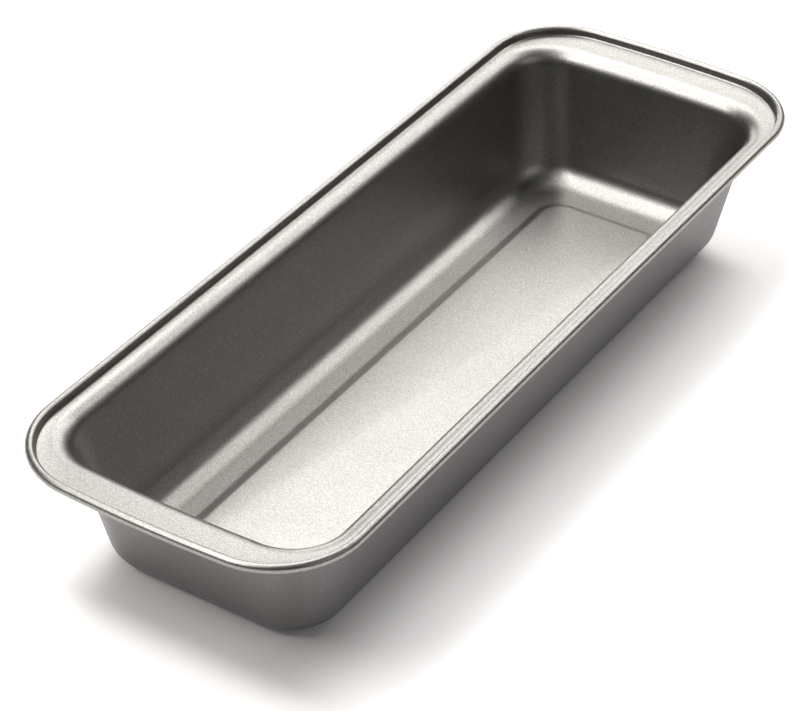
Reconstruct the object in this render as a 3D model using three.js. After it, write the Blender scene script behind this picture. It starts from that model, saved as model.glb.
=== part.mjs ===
// Long rectangular cake pan: one drawn steel sheet with a wired rolled rim and a coating on each face.
// Millimetres, +Z up, +X along the pan. The origin is on the standing surface, under the pan's middle.
import * as THREE from 'three';

// Overall size, over the coated bead
const RIM_LENGTH = 302.7;
const RIM_WIDTH = 108.5;
const OVERALL_HEIGHT = 48.05;

// Sheet, wire and coatings
const SHEET_THICKNESS = 0.5;
const COATING_THICKNESS = 0.04;
const WIRE_DIAMETER = 1.6;
const WIRE_CLEARANCE = 0.1;

// Flange, its turned-up edge and the rolled bead
const FLANGE_FLAT_AT_ENDS = 7.8;
const FLANGE_FLAT_AT_SIDES = 0.8;
const CREASE_RADIUS = 0.7;
const UPSTAND_HEIGHT = 0.8;
const CURL_WRAP = THREE.MathUtils.degToRad(270);

// Mouth, walls and floor
const MOUTH_RADIUS = 6;
const MOUTH_CORNER_RADIUS = 20.5;
const WALL_CORNER_RADIUS = 16;
const END_DRAFT = THREE.MathUtils.degToRad(11.1);
const SIDE_DRAFT = THREE.MathUtils.degToRad(9.7);
const BOTTOM_RADIUS = 8.8;
const FLOOR_CORNER_RADIUS = 13;
const SIDE_BOW = 0.2;
const END_BOW = 0.7;

// Raised panel pressed into the floor, inside the ledge that the pan stands on
const LEDGE_WIDTH = 5.5;
const PANEL_RISE = 1.2;
const PANEL_STEP_WIDTH = 4.4;
const PANEL_CORNER_RADIUS = 5.5;

// Where the outside film starts, as an angle round the bottom radius, clear of the standing surface
const OUTER_FILM_START = THREE.MathUtils.degToRad(9);

// Finishes, as they look under plain light
const PRIMED_STEEL = { color: '#6f7074', roughness: 0.45, metalness: 0.9 };
const DRAWN_WIRE = { color: '#a9abad', roughness: 0.35, metalness: 1 };
const NONSTICK_FILM = { color: '#8b8986', roughness: 0.4, metalness: 0.7 };
const OUTSIDE_FILM = { color: '#6b6d72', roughness: 0.45, metalness: 0.6 };

// Facets of the curved stretches
const CORNER_STEPS = 6;
const SIDE_STEPS = 6;
const END_STEPS = 4;
const BOTTOM_RADIUS_STEPS = 5;
const MOUTH_RADIUS_STEPS = 4;
const CREASE_STEPS = 2;
const CURL_STEPS = 9;
const PANEL_STEPS = 4;
const WIRE_SIDES = 10;

// Heights and radii that follow from the sizes above
const WIRE_RADIUS = WIRE_DIAMETER / 2;
const BEAD_RADIUS = WIRE_RADIUS + WIRE_CLEARANCE + SHEET_THICKNESS;
const BEAD_Z = OVERALL_HEIGHT - COATING_THICKNESS - BEAD_RADIUS;
const FLANGE_Z = BEAD_Z - UPSTAND_HEIGHT - CREASE_RADIUS;
const FLOOR_Z = SHEET_THICKNESS;
const COATED_DEPTH = SHEET_THICKNESS + COATING_THICKNESS;

// A point of a wall's section: out is the distance from the pan's middle, z the height above the table.
const sectionPoint = (out, z) => ({ out, z });

// Points on an arc of the section, from one angle to another. An offset face moves along the radius.
function sectionArc(centreOut, centreZ, radius, fromAngle, toAngle, steps) {
  const points = [];
  for (let i = 0; i <= steps; i += 1) {
    const angle = THREE.MathUtils.lerp(fromAngle, toAngle, i / steps);
    const out = centreOut + radius * Math.cos(angle);
    const z = centreZ + radius * Math.sin(angle);
    points.push(sectionPoint(out, z));
  }
  return points;
}

// One wall of the pan, at an end or along a side: where its radii are centred.
function wallLayout(rimHalf, flangeFlat, draft) {
  const beadOut = rimHalf - COATING_THICKNESS - BEAD_RADIUS;
  const creaseOut = beadOut - BEAD_RADIUS - CREASE_RADIUS;
  const mouthOut = creaseOut - flangeFlat;
  const mouthZ = FLANGE_Z - MOUTH_RADIUS;
  const wallTopOut = mouthOut - MOUTH_RADIUS * Math.cos(draft);
  const wallTopZ = mouthZ + MOUTH_RADIUS * Math.sin(draft);
  const bottomZ = FLOOR_Z + BOTTOM_RADIUS;
  const wallFootZ = bottomZ - BOTTOM_RADIUS * Math.sin(draft);
  const wallFootOut = wallTopOut - (wallTopZ - wallFootZ) * Math.tan(draft);
  const bottomOut = wallFootOut - BOTTOM_RADIUS * Math.cos(draft);
  const panelOut = bottomOut - LEDGE_WIDTH - PANEL_STEP_WIDTH;
  return { draft, mouthOut, mouthZ, bottomOut, bottomZ, beadOut, creaseOut, panelOut };
}

const END_WALL = wallLayout(RIM_LENGTH / 2 - END_BOW, FLANGE_FLAT_AT_ENDS, END_DRAFT);
const SIDE_WALL = wallLayout(RIM_WIDTH / 2, FLANGE_FLAT_AT_SIDES, SIDE_DRAFT);

// The crease and the bead turn their corners round the mouth's corner, at the mean width of the flange.
const CREASE_CORNER_RADIUS = MOUTH_CORNER_RADIUS + (FLANGE_FLAT_AT_ENDS + FLANGE_FLAT_AT_SIDES) / 2;

// The stretches of a section, from the middle of the floor out to the sheet's edge, on a face that lies
// depth below the food side: 0 is the steel's food side, the sheet thickness its outside.
function panelStretch(wall, depth) {
  const points = [];
  for (let i = 0; i <= PANEL_STEPS; i += 1) {
    const share = i / PANEL_STEPS;
    const rise = PANEL_RISE * (1 + Math.cos(Math.PI * share)) / 2;
    points.push(sectionPoint(wall.panelOut + PANEL_STEP_WIDTH * share, FLOOR_Z + rise - depth));
  }
  return points;
}

function ledgeStretch(wall, depth) {
  return [sectionPoint(wall.bottomOut, FLOOR_Z - depth)];
}

function bottomStretch(wall, depth) {
  const from = -Math.PI / 2 + OUTER_FILM_START;
  const radius = BOTTOM_RADIUS + depth;
  return sectionArc(wall.bottomOut, wall.bottomZ, radius, from, -wall.draft, BOTTOM_RADIUS_STEPS);
}

function mouthStretch(wall, depth) {
  const radius = MOUTH_RADIUS - depth;
  const from = Math.PI - wall.draft;
  return sectionArc(wall.mouthOut, wall.mouthZ, radius, from, Math.PI / 2, MOUTH_RADIUS_STEPS);
}

function creaseStretch(wall, depth) {
  const radius = CREASE_RADIUS + depth;
  const centreZ = FLANGE_Z + CREASE_RADIUS;
  return sectionArc(wall.creaseOut, centreZ, radius, -Math.PI / 2, 0, CREASE_STEPS);
}

function curlStretch(wall, depth) {
  const radius = BEAD_RADIUS - depth;
  return sectionArc(wall.beadOut, BEAD_Z, radius, Math.PI, Math.PI - CURL_WRAP, CURL_STEPS);
}

function wireStretch(wall, depth) {
  const turn = 2 * Math.PI * (1 - 1 / WIRE_SIDES);
  return sectionArc(wall.beadOut, BEAD_Z, BEAD_RADIUS - depth, Math.PI, Math.PI - turn, WIRE_SIDES - 1);
}

// Plan corner radius of each ring, for the same stretches.
function panelCorners() {
  const count = PANEL_STEPS;
  return Array.from({ length: count + 1 }, (_, i) => PANEL_CORNER_RADIUS + PANEL_STEP_WIDTH * i / count);
}

const outsideOf = (points, startOut) => points.map((point) => point.out - startOut);

// A rounded stretch runs from the corner of the flat it leaves to the corner of the walls.
function blendCorners(makeStretch, centreOut, flatCorner, depth) {
  const foodSide = outsideOf(makeStretch(SIDE_WALL, 0), centreOut);
  const face = outsideOf(makeStretch(SIDE_WALL, depth), centreOut);
  const reach = Math.max(...foodSide.map(Math.abs));
  return face.map((out, i) => {
    const share = Math.abs(foodSide[i]) / reach;
    return THREE.MathUtils.lerp(flatCorner, WALL_CORNER_RADIUS, share) + out - foodSide[i];
  });
}

const bottomCorners = (depth) => (
  blendCorners(bottomStretch, SIDE_WALL.bottomOut, FLOOR_CORNER_RADIUS, depth)
);
const mouthCorners = (depth) => (
  blendCorners(mouthStretch, SIDE_WALL.mouthOut, MOUTH_CORNER_RADIUS, depth)
);

function rimCorners(makeStretch, depth) {
  const growth = outsideOf(makeStretch(SIDE_WALL, depth), SIDE_WALL.creaseOut);
  return growth.map((grown) => CREASE_CORNER_RADIUS + grown);
}

// One ring round the pan. Its long sides bow in a little and its ends bow out, more the nearer the rim.
function ringPoints(endPoint, sidePoint, cornerRadius) {
  const centreX = endPoint.out - cornerRadius;
  const centreY = sidePoint.out - cornerRadius;
  const height = THREE.MathUtils.clamp((sidePoint.z - FLOOR_Z) / (FLANGE_Z - FLOOR_Z), 0, 1);
  const ring = [];
  const addCorner = (signX, signY, startAngle) => {
    for (let i = 0; i <= CORNER_STEPS; i += 1) {
      const angle = startAngle + i / CORNER_STEPS * Math.PI / 2;
      const endShare = Math.cos(angle) ** 2;
      ring.push(new THREE.Vector3(
        signX * centreX + cornerRadius * Math.cos(angle),
        signY * centreY + cornerRadius * Math.sin(angle),
        THREE.MathUtils.lerp(sidePoint.z, endPoint.z, endShare),
      ));
    }
  };
  const addSide = (sign) => {
    for (let i = 1; i < SIDE_STEPS; i += 1) {
      const along = 1 - 2 * i / SIDE_STEPS;
      const drawnIn = SIDE_BOW * height * (1 - along * along);
      ring.push(new THREE.Vector3(sign * along * centreX, sign * (sidePoint.out - drawnIn), sidePoint.z));
    }
  };
  const addEnd = (sign) => {
    for (let i = 1; i < END_STEPS; i += 1) {
      const along = 1 - 2 * i / END_STEPS;
      const swollen = END_BOW * height * (1 - along * along);
      ring.push(new THREE.Vector3(sign * (endPoint.out + swollen), -sign * along * centreY, endPoint.z));
    }
  };
  addCorner(1, 1, 0);
  addSide(1);
  addCorner(-1, 1, Math.PI / 2);
  addEnd(-1);
  addCorner(-1, -1, Math.PI);
  addSide(-1);
  addCorner(1, -1, Math.PI * 1.5);
  addEnd(1);
  return ring;
}

function stretchRings(makeStretch, corners, depth) {
  const ends = makeStretch(END_WALL, depth);
  const sides = makeStretch(SIDE_WALL, depth);
  return sides.map((sidePoint, i) => ringPoints(ends[i], sidePoint, corners[i]));
}

const panelRings = (depth) => stretchRings(panelStretch, panelCorners(), depth);
const ledgeRings = (depth) => stretchRings(ledgeStretch, [FLOOR_CORNER_RADIUS], depth);
const bottomRings = (depth) => stretchRings(bottomStretch, bottomCorners(depth), depth);
const mouthRings = (depth) => stretchRings(mouthStretch, mouthCorners(depth), depth);
const creaseRings = (depth) => stretchRings(creaseStretch, rimCorners(creaseStretch, depth), depth);
const curlRings = (depth) => stretchRings(curlStretch, rimCorners(curlStretch, depth), depth);
const wireRings = (depth) => stretchRings(wireStretch, rimCorners(wireStretch, depth), depth);

// A whole face of the sheet, from the middle of the floor to the sheet's edge.
function sheetFace(depth) {
  return [
    ...panelRings(depth),
    ...ledgeRings(depth),
    ...bottomRings(depth),
    ...mouthRings(depth),
    ...creaseRings(depth),
    ...curlRings(depth),
  ];
}

// The part of the outside that its own film covers, up to the crease where the rolled edge begins.
function outerFilmFace(depth) {
  return [...bottomRings(depth), ...mouthRings(depth), ...creaseRings(depth)];
}

// Collects rings and joins them into one closed surface.
class RingSurface {
  constructor() {
    this.positions = [];
    this.indices = [];
  }

  addRing(ring) {
    const first = this.positions.length / 3;
    ring.forEach((point) => this.positions.push(point.x, point.y, point.z));
    return { first, count: ring.length };
  }

  addTriangle(a, b, c, flipped) {
    this.indices.push(a, flipped ? c : b, flipped ? b : c);
  }

  // A band between two rings. It faces up and in when the second ring lies further out, unless flipped.
  addBand(inner, outer, flipped = false) {
    for (let i = 0; i < inner.count; i += 1) {
      const next = (i + 1) % inner.count;
      this.addTriangle(inner.first + i, outer.first + i, outer.first + next, flipped);
      this.addTriangle(inner.first + i, outer.first + next, inner.first + next, flipped);
    }
  }

  addFace(rings, flipped) {
    const added = rings.map((ring) => this.addRing(ring));
    for (let i = 1; i < added.length; i += 1) {
      this.addBand(added[i - 1], added[i], flipped);
    }
    return added;
  }

  addFlatMiddle(ring, height, flipped) {
    const middle = this.addRing([new THREE.Vector3(0, 0, height)]).first;
    for (let i = 0; i < ring.count; i += 1) {
      this.addTriangle(middle, ring.first + i, ring.first + (i + 1) % ring.count, flipped);
    }
  }

  geometry() {
    const geometry = new THREE.BufferGeometry();
    geometry.setAttribute('position', new THREE.Float32BufferAttribute(this.positions, 3));
    geometry.setIndex(this.indices);
    geometry.computeVertexNormals();
    return geometry;
  }
}

// A tray between two faces, closed over the middle of the floor and at the sheet's edge.
function trayGeometry(upperDepth, lowerDepth) {
  const surface = new RingSurface();
  const upper = surface.addFace(sheetFace(upperDepth), false);
  const lower = surface.addFace(sheetFace(lowerDepth), true);
  surface.addBand(upper.at(-1), lower.at(-1));
  surface.addFlatMiddle(upper[0], FLOOR_Z + PANEL_RISE - upperDepth, false);
  surface.addFlatMiddle(lower[0], FLOOR_Z + PANEL_RISE - lowerDepth, true);
  return surface.geometry();
}

// A band of film round the outside, between two faces.
function bandGeometry(upperDepth, lowerDepth) {
  const surface = new RingSurface();
  const upper = surface.addFace(outerFilmFace(upperDepth), false);
  const lower = surface.addFace(outerFilmFace(lowerDepth), true);
  surface.addBand(upper.at(-1), lower.at(-1));
  surface.addBand(lower[0], upper[0]);
  return surface.geometry();
}

// The wire that the sheet's edge is rolled over, a closed loop round the rim.
function wireGeometry() {
  const surface = new RingSurface();
  const added = surface.addFace(wireRings(BEAD_RADIUS - WIRE_RADIUS), false);
  surface.addBand(added.at(-1), added[0]);
  return surface.geometry();
}

function namedMesh(name, geometry, finish) {
  const mesh = new THREE.Mesh(geometry, new THREE.MeshStandardMaterial(finish));
  mesh.name = name;
  return mesh;
}

const pan = new THREE.Group();
pan.add(
  namedMesh('pan_body', trayGeometry(0, SHEET_THICKNESS), PRIMED_STEEL),
  namedMesh('rim_wire', wireGeometry(), DRAWN_WIRE),
  namedMesh('inner_nonstick_coating', trayGeometry(-COATING_THICKNESS, 0), NONSTICK_FILM),
  namedMesh('outer_coating', bandGeometry(SHEET_THICKNESS, COATED_DEPTH), OUTSIDE_FILM),
);

export default pan;
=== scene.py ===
"""The long rectangular cake pan as it looks: smooth drawn sheet, wired rim, speckled non-stick film."""
import math
from types import SimpleNamespace

import bmesh
import bpy
from mathutils import Matrix, Vector


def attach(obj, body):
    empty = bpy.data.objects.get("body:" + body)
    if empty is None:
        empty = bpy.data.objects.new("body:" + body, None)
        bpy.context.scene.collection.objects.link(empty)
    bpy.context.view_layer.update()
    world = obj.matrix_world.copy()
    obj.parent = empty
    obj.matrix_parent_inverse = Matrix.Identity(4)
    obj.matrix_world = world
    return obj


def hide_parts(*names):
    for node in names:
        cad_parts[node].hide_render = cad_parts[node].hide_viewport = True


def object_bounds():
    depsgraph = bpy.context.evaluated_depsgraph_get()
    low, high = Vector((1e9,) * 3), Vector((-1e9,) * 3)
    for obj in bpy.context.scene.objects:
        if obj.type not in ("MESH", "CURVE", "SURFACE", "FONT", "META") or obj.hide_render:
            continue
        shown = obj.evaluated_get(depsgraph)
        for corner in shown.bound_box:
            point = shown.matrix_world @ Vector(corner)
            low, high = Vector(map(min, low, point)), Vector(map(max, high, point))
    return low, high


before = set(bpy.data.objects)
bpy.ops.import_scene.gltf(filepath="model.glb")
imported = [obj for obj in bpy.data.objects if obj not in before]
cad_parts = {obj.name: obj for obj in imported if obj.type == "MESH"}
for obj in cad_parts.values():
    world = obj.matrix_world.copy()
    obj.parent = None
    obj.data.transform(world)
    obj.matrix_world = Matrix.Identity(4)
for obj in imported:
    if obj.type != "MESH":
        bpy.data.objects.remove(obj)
CAD_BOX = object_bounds()

MM = 0.001

# Overall size, from the frame
RIM_LENGTH = CAD_BOX[1].x - CAD_BOX[0].x
RIM_WIDTH = CAD_BOX[1].y - CAD_BOX[0].y
OVERALL_HEIGHT = CAD_BOX[1].z - CAD_BOX[0].z

# Sheet, wire and films
SHEET_THICKNESS = 0.5 * MM
FILM_THICKNESS = 0.04 * MM
WIRE_RADIUS = 0.8 * MM
WIRE_CLEARANCE = 0.1 * MM

# Flange, its turned-up edge and the rolled bead
FLANGE_FLAT_AT_ENDS = 7.8 * MM
FLANGE_FLAT_AT_SIDES = 0.8 * MM
CREASE_RADIUS = 0.7 * MM
UPSTAND_HEIGHT = 0.8 * MM
CURL_WRAP = math.radians(270)

# Mouth, walls and floor
MOUTH_RADIUS = 6 * MM
MOUTH_CORNER_RADIUS = 20.5 * MM
WALL_CORNER_RADIUS = 16 * MM
END_DRAFT = math.radians(11.1)
SIDE_DRAFT = math.radians(9.7)
BOTTOM_RADIUS = 8.8 * MM
FLOOR_CORNER_RADIUS = 13 * MM
SIDE_BOW = 0.2 * MM
END_BOW = 0.7 * MM

# Raised panel pressed into the floor, inside the ledge that the pan stands on
LEDGE_WIDTH = 5.5 * MM
PANEL_RISE = 1.2 * MM
PANEL_STEP_WIDTH = 4.4 * MM
PANEL_CORNER_RADIUS = 5.5 * MM

# Where the outside film starts, as an angle round the bottom radius, clear of the standing surface
OUTER_FILM_START = math.radians(9)

# Heights that follow from the sizes above
BEAD_RADIUS = WIRE_RADIUS + WIRE_CLEARANCE + SHEET_THICKNESS
BEAD_Z = OVERALL_HEIGHT - FILM_THICKNESS - BEAD_RADIUS
FLANGE_Z = BEAD_Z - UPSTAND_HEIGHT - CREASE_RADIUS
FLOOR_Z = SHEET_THICKNESS
BOTTOM_Z = FLOOR_Z + BOTTOM_RADIUS
MOUTH_Z = FLANGE_Z - MOUTH_RADIUS

# How finely the round stretches are modelled
CORNER_SEGMENTS = 16
STRAIGHT_CUTS = 15
PANEL_RINGS = 9
BOTTOM_RINGS = 12
WALL_RINGS = 4
MOUTH_RINGS = 9
CREASE_RINGS = 4
CURL_RINGS = 22
WIRE_RESOLUTION = 4
SHORTEST_STRAIGHT = 8 * MM
ON_AXIS = 0.01 * MM
SHARP_EDGE = math.radians(50)
BRIDGE_LIFT = 60 * MM

# Size of a plane that reaches 1 to each side of its middle
UNIT_PLANE = 2

FILM_GROUP = "under_outside_film"
SHELL_GROUP = "outside_of_sheet"

# Finishes: a film is a range of flake colours, a mean roughness, an orange peel and a fineness of flakes
SPECKLED_DARK = (0.185, 0.181, 0.174)
SPECKLED_LIGHT = (0.445, 0.434, 0.416)
SPECKLED_ROUGHNESS = 0.39
SPECKLED_PEEL = 0.006 * MM
SPECKLED_FLAKES_PER_METRE = 7000
PLAIN_DARK = (0.20, 0.194, 0.196)
PLAIN_LIGHT = (0.26, 0.253, 0.255)
PLAIN_ROUGHNESS = 0.44
PLAIN_PEEL = 0.004 * MM
PLAIN_FLAKES_PER_METRE = 4000
WIRE_DARK = (0.40, 0.40, 0.41)
WIRE_LIGHT = (0.46, 0.46, 0.47)
WIRE_ROUGHNESS = 0.35
WIRE_PEEL = 0.002 * MM
WIRE_FLAKES_PER_METRE = 1200
GLOSS_SPREAD = 0.04
MOTTLE_PER_METRE = 60
MOTTLE_DETAIL = 3.0
MOTTLE_ROUGHNESS = 0.6
PEEL_DETAIL = 1.0
PEEL_ROUGHNESS = 0.5

# Camera, in the pan's frame
CAMERA_PLACE = (-0.61288, -0.37952, 0.54181)
CAMERA_TARGET = (-0.04621, -0.01555, 0.04626)
CAMERA_ROLL = math.radians(0.379)
CAMERA_LENS = 129.5
CAMERA_SENSOR = 36
CAMERA_NEAR = 0.01
CAMERA_FAR = 50

# Lamps: azimuth from +X towards +Y, elevation and how far the face reaches to each side, all in degrees,
# then how bright the face is
LAMPS = {
    "back_softbox": (25, 41, 13, 19, 3.0),
    "overhead_strip": (98, 69, 36, 11, 5.7),
    "front_card": (146, 47, 11, 9, 4.8),
    "right_card": (-13, 44, 16, 9, 4.7),
    "low_card": (46, 9, 12, 7, 6.0),
    "side_fill": (-90, 40, 18, 14, 0.7),
}
LAMP_COLOUR = (1, 0.985, 0.965)
LAMP_DISTANCE = 1.6
ROOM_COLOUR = (1, 1, 1, 1)
ROOM_LEVEL = 0.02

# White table, and its glow, which is painted light from no lamp: weakest on a rectangle round the pan's
# foot, where it leaves painted shade over the lamps' real shadow, full at a reach beyond it
TABLE_SIZE = 30
TABLE_GAP = 0.05 * MM
TABLE_COLOUR = (0.86, 0.835, 0.825, 1)
TABLE_ROUGHNESS = 0.9
# The rectangle of painted shade round the pan's foot, by its middle and half sizes: the painted glow is
# weakest inside it
PAINTED_SHADE_CENTRE = (-0.015, -0.0045, 0)
PAINTED_SHADE_HALF = (0.121, 0.0305, 1)
GLOW_COLOUR = (1, 1, 1, 1)
GLOW_REACH = (0.016, 0.031, 1)
GLOW_IN_PAINTED_SHADE = 0.05
GLOW_FAR = 0.5


def steps(count):
    """Shares from 0 to 1, both included."""
    return [i / (count - 1) for i in range(count)]


def lerp(a, b, share):
    """The value that lies at a share of the way from one value to another."""
    return a + (b - a) * share


# The pan's section


def wall_layout(rim_half, flange_flat, draft):
    """Where one wall's radii are centred, as distances out from the pan's middle."""
    bead_out = rim_half - FILM_THICKNESS - BEAD_RADIUS
    crease_out = bead_out - BEAD_RADIUS - CREASE_RADIUS
    mouth_out = crease_out - flange_flat
    top_out = mouth_out - MOUTH_RADIUS * math.cos(draft)
    top_z = MOUTH_Z + MOUTH_RADIUS * math.sin(draft)
    foot_z = BOTTOM_Z - BOTTOM_RADIUS * math.sin(draft)
    foot_out = top_out - (top_z - foot_z) * math.tan(draft)
    bottom_out = foot_out - BOTTOM_RADIUS * math.cos(draft)
    panel_out = bottom_out - LEDGE_WIDTH - PANEL_STEP_WIDTH
    return SimpleNamespace(
        draft=draft, bead_out=bead_out, crease_out=crease_out, mouth_out=mouth_out,
        top_out=top_out, top_z=top_z, foot_out=foot_out, foot_z=foot_z, bottom_out=bottom_out,
        panel_out=panel_out,
    )


END_WALL = wall_layout(RIM_LENGTH / 2 - END_BOW, FLANGE_FLAT_AT_ENDS, END_DRAFT)
SIDE_WALL = wall_layout(RIM_WIDTH / 2, FLANGE_FLAT_AT_SIDES, SIDE_DRAFT)
CREASE_CORNER_RADIUS = MOUTH_CORNER_RADIUS + (FLANGE_FLAT_AT_ENDS + FLANGE_FLAT_AT_SIDES) / 2


def wall_out(wall, z):
    """How far out a wall's food side is at a height, from the bottom radius to the mouth's radius."""
    if z < wall.foot_z:
        return wall.bottom_out + math.sqrt(max(0, BOTTOM_RADIUS**2 - (BOTTOM_Z - z) ** 2))
    if z < wall.top_z:
        return wall.top_out - (wall.top_z - z) * math.tan(wall.draft)
    return wall.mouth_out - math.sqrt(max(0, MOUTH_RADIUS**2 - (z - MOUTH_Z) ** 2))


def wall_corner(z):
    """Plan corner radius of the walls at a height."""
    wall = SIDE_WALL
    out = wall_out(wall, z)
    if z < wall.foot_z:
        share = (out - wall.bottom_out) / (wall.foot_out - wall.bottom_out)
        return lerp(FLOOR_CORNER_RADIUS, WALL_CORNER_RADIUS, share)
    if z > wall.top_z:
        share = (wall.mouth_out - out) / (wall.mouth_out - wall.top_out)
        return lerp(MOUTH_CORNER_RADIUS, WALL_CORNER_RADIUS, share)
    return WALL_CORNER_RADIUS


def ring(end_out, side_out, z, corner, filmed=False):
    """A rounded rectangle round the pan: its reach out to the ends and the sides, its height and corner
    radius, and whether the outside film lies under it."""
    return SimpleNamespace(end_out=end_out, side_out=side_out, z=z, corner=corner, filmed=filmed)


def panel_rings():
    """The soft step from the raised panel down to the ledge."""
    rings = []
    for share in steps(PANEL_RINGS):
        out = PANEL_STEP_WIDTH * share
        z = FLOOR_Z + PANEL_RISE * (1 + math.cos(math.pi * share)) / 2
        end_out = END_WALL.panel_out + out
        side_out = SIDE_WALL.panel_out + out
        rings.append(ring(end_out, side_out, z, PANEL_CORNER_RADIUS + out))
    return rings


def wall_rings():
    """The bottom radius, the drafted walls and the mouth's radius."""
    upright = math.pi / 2
    bottom_turns = [lerp(OUTER_FILM_START, upright - SIDE_DRAFT, share) for share in steps(BOTTOM_RINGS)]
    mouth_turns = [lerp(SIDE_DRAFT, upright, share) for share in steps(MOUTH_RINGS)]
    between_radii = steps(WALL_RINGS + 2)[1:-1]
    levels = [BOTTOM_Z - BOTTOM_RADIUS * math.cos(turn) for turn in bottom_turns]
    levels += [lerp(SIDE_WALL.foot_z, SIDE_WALL.top_z, share) for share in between_radii]
    levels += [MOUTH_Z + MOUTH_RADIUS * math.sin(turn) for turn in mouth_turns]
    rings = [ring(END_WALL.bottom_out, SIDE_WALL.bottom_out, FLOOR_Z, FLOOR_CORNER_RADIUS)]
    for z in levels:
        rings.append(ring(wall_out(END_WALL, z), wall_out(SIDE_WALL, z), z, wall_corner(z), filmed=True))
    return rings


def rim_ring(centre_out, out, z, filmed):
    """A ring of the rim, out from the centre of the crease or of the bead."""
    from_crease = getattr(SIDE_WALL, centre_out) + out - SIDE_WALL.crease_out
    return ring(
        getattr(END_WALL, centre_out) + out, getattr(SIDE_WALL, centre_out) + out, z,
        CREASE_CORNER_RADIUS + from_crease, filmed,
    )


def crease_rings():
    """The crease where the flange turns up into the bead."""
    rings = []
    for share in steps(CREASE_RINGS):
        angle = share * math.pi / 2
        z = FLANGE_Z + CREASE_RADIUS * (1 - math.cos(angle))
        rings.append(rim_ring("crease_out", CREASE_RADIUS * math.sin(angle), z, filmed=True))
    return rings


def curl_rings():
    """The bead, rolled outwards and down round the wire."""
    rings = []
    for share in steps(CURL_RINGS):
        angle = math.pi - share * CURL_WRAP
        z = BEAD_Z + BEAD_RADIUS * math.sin(angle)
        rings.append(rim_ring("bead_out", BEAD_RADIUS * math.cos(angle), z, filmed=False))
    return rings


# Modelling by hand: loops, bridges and copies


def edit_mode(piece):
    """Starts editing a piece's mesh."""
    bpy.context.view_layer.objects.active = piece
    bpy.ops.object.mode_set(mode="EDIT")


def object_mode():
    """Ends the editing of a mesh."""
    bpy.ops.object.mode_set(mode="OBJECT")


def select_only(piece):
    """Selects one piece and nothing else."""
    bpy.ops.object.select_all(action="DESELECT")
    piece.select_set(True)
    bpy.context.view_layer.objects.active = piece


def select_in_edit(piece, vertices=None, edges=None):
    """Selects vertices or edges of the mesh being edited by a test of their own."""
    bpy.ops.mesh.select_all(action="DESELECT")
    mesh = bmesh.from_edit_mesh(piece.data)
    for found in (v for v in mesh.verts if vertices and vertices(v)):
        found.select = True
    for found in (e for e in mesh.edges if edges and edges(e)):
        found.select_set(True)
    mesh.select_flush_mode()
    bmesh.update_edit_mesh(piece.data)


def lay_ring(at, z):
    """Lays a rounded rectangle into the mesh being edited: a plane, stretched, with its corners rounded."""
    bpy.ops.mesh.select_all(action="DESELECT")
    bpy.ops.mesh.primitive_plane_add(size=UNIT_PLANE, location=(0, 0, z))
    bpy.ops.transform.resize(value=(at.end_out, at.side_out, 1), center_override=(0, 0, z))
    bpy.ops.mesh.bevel(offset=at.corner, segments=CORNER_SEGMENTS, affect="VERTICES")


def pull_middle(piece, is_middle, move, reach):
    """Moves the middle of one straight of the loose ring, and with it the straight in a shallow curve."""
    select_in_edit(piece, vertices=lambda v: not v.link_faces and is_middle(v.co))
    bpy.ops.transform.translate(
        value=move, use_proportional_edit=True, use_proportional_connected=True,
        proportional_edit_falloff="INVERSE_SQUARE", proportional_size=reach,
    )


def bow_ring(piece, at):
    """Draws the long sides of the loose ring in and its ends out, more the nearer the rim."""
    height = min(1, max(0, (at.z - FLOOR_Z) / (FLANGE_Z - FLOOR_Z)))
    if height == 0:
        return
    for sign in (1, -1):
        pull_middle(
            piece, lambda at_point: abs(at_point.x) < ON_AXIS and at_point.y * sign > 0,
            (0, -sign * SIDE_BOW * height, 0), at.end_out - at.corner,
        )
        pull_middle(
            piece, lambda at_point: abs(at_point.y) < ON_AXIS and at_point.x * sign > 0,
            (sign * END_BOW * height, 0, 0), at.side_out - at.corner,
        )


def food_side():
    """The food side of the sheet as one open surface, from the middle of the floor to the sheet's edge.
    Each ring is bridged well above the one before it and then let down, since two loops in one plane
    can't be bridged the right way round."""
    rings = panel_rings() + wall_rings() + crease_rings() + curl_rings()
    bpy.ops.object.select_all(action="DESELECT")
    bpy.ops.mesh.primitive_plane_add(size=UNIT_PLANE)
    piece = bpy.context.object
    piece.vertex_groups.new(name=FILM_GROUP)
    edit_mode(piece)
    bpy.ops.mesh.delete(type="VERT")
    for number, at in enumerate(rings):
        bpy.ops.mesh.select_mode(type="VERT")
        lift = BRIDGE_LIFT if number else 0
        lay_ring(at, at.z + lift)
        if number:
            bpy.ops.mesh.delete(type="ONLY_FACE")
        is_loose = (lambda e: e.is_wire) if number else (lambda e: True)
        select_in_edit(piece, edges=lambda e: is_loose(e) and e.calc_length() > SHORTEST_STRAIGHT)
        bpy.ops.mesh.subdivide(number_cuts=STRAIGHT_CUTS)
        if number == 0:
            continue
        bow_ring(piece, at)
        if at.filmed:
            select_in_edit(piece, vertices=lambda v: not v.link_faces)
            bpy.ops.object.vertex_group_assign()
        bpy.ops.mesh.select_mode(type="EDGE")
        select_in_edit(piece, edges=lambda e: e.is_wire or e.is_boundary)
        bpy.ops.mesh.bridge_edge_loops()
        select_in_edit(piece, edges=lambda e: e.is_boundary)
        bpy.ops.transform.translate(value=(0, 0, -lift))
    bpy.ops.mesh.select_all(action="SELECT")
    bpy.ops.mesh.normals_make_consistent(inside=False)
    object_mode()
    return piece


def copy_of(source, name):
    """A copy with its own mesh, selected alone."""
    select_only(source)
    bpy.ops.object.duplicate()
    piece = bpy.context.object
    piece.name = name
    piece.data.name = name
    return piece


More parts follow.
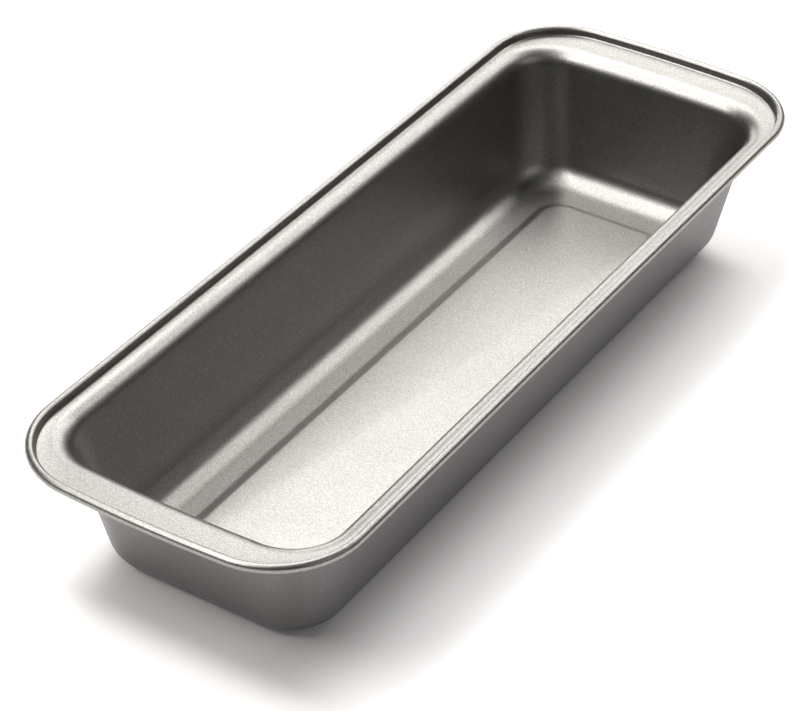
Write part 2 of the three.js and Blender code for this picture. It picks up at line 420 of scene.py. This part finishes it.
def thicken(piece, thickness, towards_normal, shell_group=""):
    """Gives an open surface its thickness, on the side that its faces point to or on the other."""
    select_only(piece)
    wall = piece.modifiers.new("thickness", "SOLIDIFY")
    wall.thickness = thickness
    wall.offset = 1 if towards_normal else -1
    wall.use_even_offset = True
    wall.use_quality_normals = True
    wall.shell_vertex_group = shell_group
    bpy.ops.object.modifier_apply(modifier=wall.name)


def keep_group(piece, group):
    """Deletes what lies outside a vertex group from the mesh being edited."""
    piece.vertex_groups.active = piece.vertex_groups[group]
    bpy.ops.mesh.select_all(action="SELECT")
    bpy.ops.object.vertex_group_deselect()
    bpy.ops.mesh.delete(type="VERT")


def finish_piece(piece, node, material):
    """Smooths a piece, gives it its finish and puts it in the place of its CAD node."""
    select_only(piece)
    bpy.ops.object.shade_smooth_by_angle(angle=SHARP_EDGE)
    piece.data.materials.clear()
    piece.data.materials.append(material)
    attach(piece, "root")
    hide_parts(node)


# The pieces


def drawn_sheet(surface):
    """The steel sheet, thickened away from the food side."""
    piece = copy_of(surface, "drawn_sheet")
    piece.vertex_groups.new(name=SHELL_GROUP)
    thicken(piece, SHEET_THICKNESS, towards_normal=False, shell_group=SHELL_GROUP)
    return piece


def food_side_film(surface):
    """The non-stick film on the food side and round the outside of the bead."""
    piece = copy_of(surface, "food_side_film")
    thicken(piece, FILM_THICKNESS, towards_normal=True)
    return piece


def outside_film(sheet):
    """The plain film on the outside of the walls and under the flange."""
    piece = copy_of(sheet, "outside_film")
    edit_mode(piece)
    bpy.ops.mesh.select_mode(type="VERT")
    keep_group(piece, SHELL_GROUP)
    keep_group(piece, FILM_GROUP)
    object_mode()
    thicken(piece, FILM_THICKNESS, towards_normal=True)
    return piece


def rolled_in_wire():
    """The wire inside the bead: a loop round the rim, given a round section."""
    at = rim_ring("bead_out", 0, BEAD_Z, filmed=False)
    bpy.ops.object.select_all(action="DESELECT")
    bpy.ops.mesh.primitive_plane_add(size=UNIT_PLANE)
    piece = bpy.context.object
    piece.name = "rolled_in_wire"
    edit_mode(piece)
    bpy.ops.mesh.delete(type="VERT")
    bpy.ops.mesh.select_mode(type="VERT")
    lay_ring(at, at.z)
    bpy.ops.mesh.delete(type="ONLY_FACE")
    select_in_edit(piece, edges=lambda e: e.calc_length() > SHORTEST_STRAIGHT)
    bpy.ops.mesh.subdivide(number_cuts=STRAIGHT_CUTS)
    bow_ring(piece, at)
    object_mode()
    select_only(piece)
    bpy.ops.object.convert(target="CURVE")
    piece.data.bevel_depth = WIRE_RADIUS
    piece.data.bevel_resolution = WIRE_RESOLUTION
    bpy.ops.object.convert(target="MESH")
    return piece


# Finishes


def add_node(tree, kind, **inputs):
    """A shader node with its unlinked inputs set by name, spaces written as underscores."""
    node = tree.nodes.new(kind)
    for name, value in inputs.items():
        node.inputs[name.replace("_", " ")].default_value = value
    return node


def flake_group():
    """Fine metal flakes in a film: a random value for each flake, a slow mottle and an orange peel."""
    group = bpy.data.node_groups.new("metal_flakes", "ShaderNodeTree")
    face = group.interface
    for name in ("Flakes per metre", "Mottle per metre"):
        face.new_socket(name, in_out="INPUT", socket_type="NodeSocketFloat")
    for name in ("Flake", "Mottle", "Height"):
        face.new_socket(name, in_out="OUTPUT", socket_type="NodeSocketFloat")
    inside = group.nodes.new("NodeGroupInput")
    outside = group.nodes.new("NodeGroupOutput")
    place = group.nodes.new("ShaderNodeTexCoord")
    cells = add_node(group, "ShaderNodeTexVoronoi", Randomness=1.0)
    mottle = add_node(group, "ShaderNodeTexNoise", Detail=MOTTLE_DETAIL, Roughness=MOTTLE_ROUGHNESS)
    peel = add_node(group, "ShaderNodeTexNoise", Detail=PEEL_DETAIL, Roughness=PEEL_ROUGHNESS)
    split = group.nodes.new("ShaderNodeSeparateColor")
    for pattern, scale in (
        (cells, "Flakes per metre"), (mottle, "Mottle per metre"), (peel, "Flakes per metre"),
    ):
        group.links.new(place.outputs["Object"], pattern.inputs["Vector"])
        group.links.new(inside.outputs[scale], pattern.inputs["Scale"])
    group.links.new(cells.outputs["Color"], split.inputs["Color"])
    group.links.new(split.outputs["Red"], outside.inputs["Flake"])
    group.links.new(mottle.outputs["Fac"], outside.inputs["Mottle"])
    group.links.new(peel.outputs["Fac"], outside.inputs["Height"])
    return group


def film_material(name, flakes, dark, light, roughness, peel_height, flakes_per_metre):
    """A satin finish full of metal flakes: its colour changes from flake to flake and its gloss slowly over
    the surface, which has a faint orange peel."""
    material = bpy.data.materials.new(name)
    material.use_nodes = True
    tree = material.node_tree
    surface = tree.nodes["Principled BSDF"]
    surface.inputs["Metallic"].default_value = 1.0
    grain = tree.nodes.new("ShaderNodeGroup")
    grain.node_tree = flakes
    grain.inputs["Flakes per metre"].default_value = flakes_per_metre
    grain.inputs["Mottle per metre"].default_value = MOTTLE_PER_METRE
    tint = tree.nodes.new("ShaderNodeMix")
    tint.data_type = "RGBA"
    tint.inputs["A"].default_value = (*dark, 1)
    tint.inputs["B"].default_value = (*light, 1)
    gloss = add_node(
        tree, "ShaderNodeMapRange", To_Min=roughness - GLOSS_SPREAD, To_Max=roughness + GLOSS_SPREAD,
    )
    bump = add_node(tree, "ShaderNodeBump", Strength=1.0, Distance=peel_height)
    tree.links.new(grain.outputs["Flake"], tint.inputs["Factor"])
    tree.links.new(tint.outputs["Result"], surface.inputs["Base Color"])
    tree.links.new(grain.outputs["Mottle"], gloss.inputs["Value"])
    tree.links.new(gloss.outputs["Result"], surface.inputs["Roughness"])
    tree.links.new(grain.outputs["Height"], bump.inputs["Height"])
    tree.links.new(bump.outputs["Normal"], surface.inputs["Normal"])
    return material


def speckled_nonstick(flakes):
    """The light, clearly speckled film on the food side."""
    return film_material(
        "speckled_nonstick", flakes, SPECKLED_DARK, SPECKLED_LIGHT, SPECKLED_ROUGHNESS, SPECKLED_PEEL,
        SPECKLED_FLAKES_PER_METRE,
    )


def plain_grey_film(flakes):
    """The darker, even film on the outside."""
    return film_material(
        "plain_grey_film", flakes, PLAIN_DARK, PLAIN_LIGHT, PLAIN_ROUGHNESS, PLAIN_PEEL,
        PLAIN_FLAKES_PER_METRE,
    )


def drawn_wire(flakes):
    """The bare steel of the wire."""
    return film_material(
        "drawn_wire", flakes, WIRE_DARK, WIRE_LIGHT, WIRE_ROUGHNESS, WIRE_PEEL, WIRE_FLAKES_PER_METRE,
    )


# The studio


def aim(thing, place, target):
    """Puts a lamp or camera in its place and turns it to a target."""
    thing.location = place
    thing.rotation_mode = "QUATERNION"
    thing.rotation_quaternion = (Vector(target) - Vector(place)).to_track_quat("-Z", "Y")


def photo_camera():
    """The camera that sees the pan from the photo's angle."""
    data = bpy.data.cameras.new("photo_camera")
    data.sensor_width = CAMERA_SENSOR
    data.lens = CAMERA_LENS
    data.clip_start = CAMERA_NEAR
    data.clip_end = CAMERA_FAR
    camera = bpy.data.objects.new("photo_camera", data)
    bpy.context.scene.collection.objects.link(camera)
    aim(camera, CAMERA_PLACE, CAMERA_TARGET)
    roll = Matrix.Rotation(CAMERA_ROLL, 3, "Z").to_quaternion()
    camera.rotation_quaternion = camera.rotation_quaternion @ roll
    bpy.context.scene.camera = camera


def softbox(name, azimuth, elevation, half_width, half_height, radiance):
    """A flat lamp that faces the pan. Its power follows from how bright its face is."""
    data = bpy.data.lights.new(name, "AREA")
    data.shape = "RECTANGLE"
    data.size = 2 * LAMP_DISTANCE * math.tan(math.radians(half_width))
    data.size_y = 2 * LAMP_DISTANCE * math.tan(math.radians(half_height))
    data.color = LAMP_COLOUR
    data.energy = radiance * math.pi * data.size * data.size_y
    lamp = bpy.data.objects.new(name, data)
    bpy.context.scene.collection.objects.link(lamp)
    turn = math.radians(azimuth)
    rise = math.radians(elevation)
    place = Vector((math.cos(turn) * math.cos(rise), math.sin(turn) * math.cos(rise), math.sin(rise)))
    aim(lamp, place * LAMP_DISTANCE, (0, 0, 0))


def white_table_with_painted_glow():
    """A white table. Seen by the camera or in the metal it also glows, more the further from the pan: the
    glow is painted light, and its weak patch round the pan's foot is painted shade laid over the lamps'
    real shadow.
    """
    bpy.ops.object.select_all(action="DESELECT")
    bpy.ops.mesh.primitive_plane_add(size=TABLE_SIZE, location=(0, 0, -TABLE_GAP))
    floor = bpy.context.object
    floor.name = "white_floor"
    material = bpy.data.materials.new("white_floor")
    material.use_nodes = True
    tree = material.node_tree
    paint = tree.nodes["Principled BSDF"]
    paint.inputs["Base Color"].default_value = TABLE_COLOUR
    paint.inputs["Roughness"].default_value = TABLE_ROUGHNESS
    paint.inputs["Specular IOR Level"].default_value = 0
    path = tree.nodes.new("ShaderNodeLightPath")
    place = tree.nodes.new("ShaderNodeTexCoord")
    reach = place.outputs["Object"]
    # Distance out from the rectangle of painted shade, measured in reaches of the glow
    for operation, value in (
        ("SUBTRACT", PAINTED_SHADE_CENTRE),
        ("ABSOLUTE", None),
        ("SUBTRACT", PAINTED_SHADE_HALF),
        ("MAXIMUM", (0, 0, 0)),
        ("DIVIDE", GLOW_REACH),
    ):
        step = tree.nodes.new("ShaderNodeVectorMath")
        step.operation = operation
        tree.links.new(reach, step.inputs[0])
        if value:
            step.inputs[1].default_value = value
        reach = step.outputs["Vector"]
    distance = tree.nodes.new("ShaderNodeVectorMath")
    distance.operation = "LENGTH"
    # Painted glow: weak inside the painted shade round the pan, full beyond it
    glow = add_node(tree, "ShaderNodeMapRange", To_Min=GLOW_IN_PAINTED_SHADE, To_Max=GLOW_FAR)
    glow.interpolation_type = "SMOOTHSTEP"
    seen = tree.nodes.new("ShaderNodeMath")
    seen.operation = "MAXIMUM"
    seen_through = tree.nodes.new("ShaderNodeMath")
    seen_through.operation = "MAXIMUM"
    shown = tree.nodes.new("ShaderNodeMath")
    shown.operation = "MULTIPLY"
    tree.links.new(path.outputs["Is Camera Ray"], seen.inputs[0])
    tree.links.new(path.outputs["Is Glossy Ray"], seen.inputs[1])
    tree.links.new(seen.outputs[0], seen_through.inputs[0])
    tree.links.new(path.outputs["Is Transmission Ray"], seen_through.inputs[1])
    tree.links.new(reach, distance.inputs[0])
    tree.links.new(distance.outputs["Value"], glow.inputs["Value"])
    tree.links.new(glow.outputs["Result"], shown.inputs[0])
    tree.links.new(seen_through.outputs[0], shown.inputs[1])
    paint.inputs["Emission Color"].default_value = GLOW_COLOUR
    tree.links.new(shown.outputs[0], paint.inputs["Emission Strength"])
    floor.data.materials.append(material)


def dim_room():
    """The little light that comes from the room round the pan."""
    world = bpy.data.worlds.new("dim_room")
    bpy.context.scene.world = world
    world.use_nodes = True
    background = world.node_tree.nodes["Background"]
    background.inputs["Color"].default_value = ROOM_COLOUR
    background.inputs["Strength"].default_value = ROOM_LEVEL


def build_pan():
    """All four pieces, each in the place of its CAD node."""
    flakes = flake_group()
    plain_film = plain_grey_film(flakes)
    surface = food_side()
    sheet = drawn_sheet(surface)
    film = food_side_film(surface)
    outer = outside_film(sheet)
    wire = rolled_in_wire()
    bpy.data.objects.remove(surface)
    finish_piece(sheet, "pan_body", plain_film)
    finish_piece(film, "inner_nonstick_coating", speckled_nonstick(flakes))
    finish_piece(outer, "outer_coating", plain_film)
    finish_piece(wire, "rim_wire", drawn_wire(flakes))


def light_studio():
    """The lamps, the table and the room."""
    for name, lamp in LAMPS.items():
        softbox(name, *lamp)
    white_table_with_painted_glow()
    dim_room()
    bpy.context.scene.view_settings.view_transform = "Standard"


build_pan()
light_studio()
photo_camera()
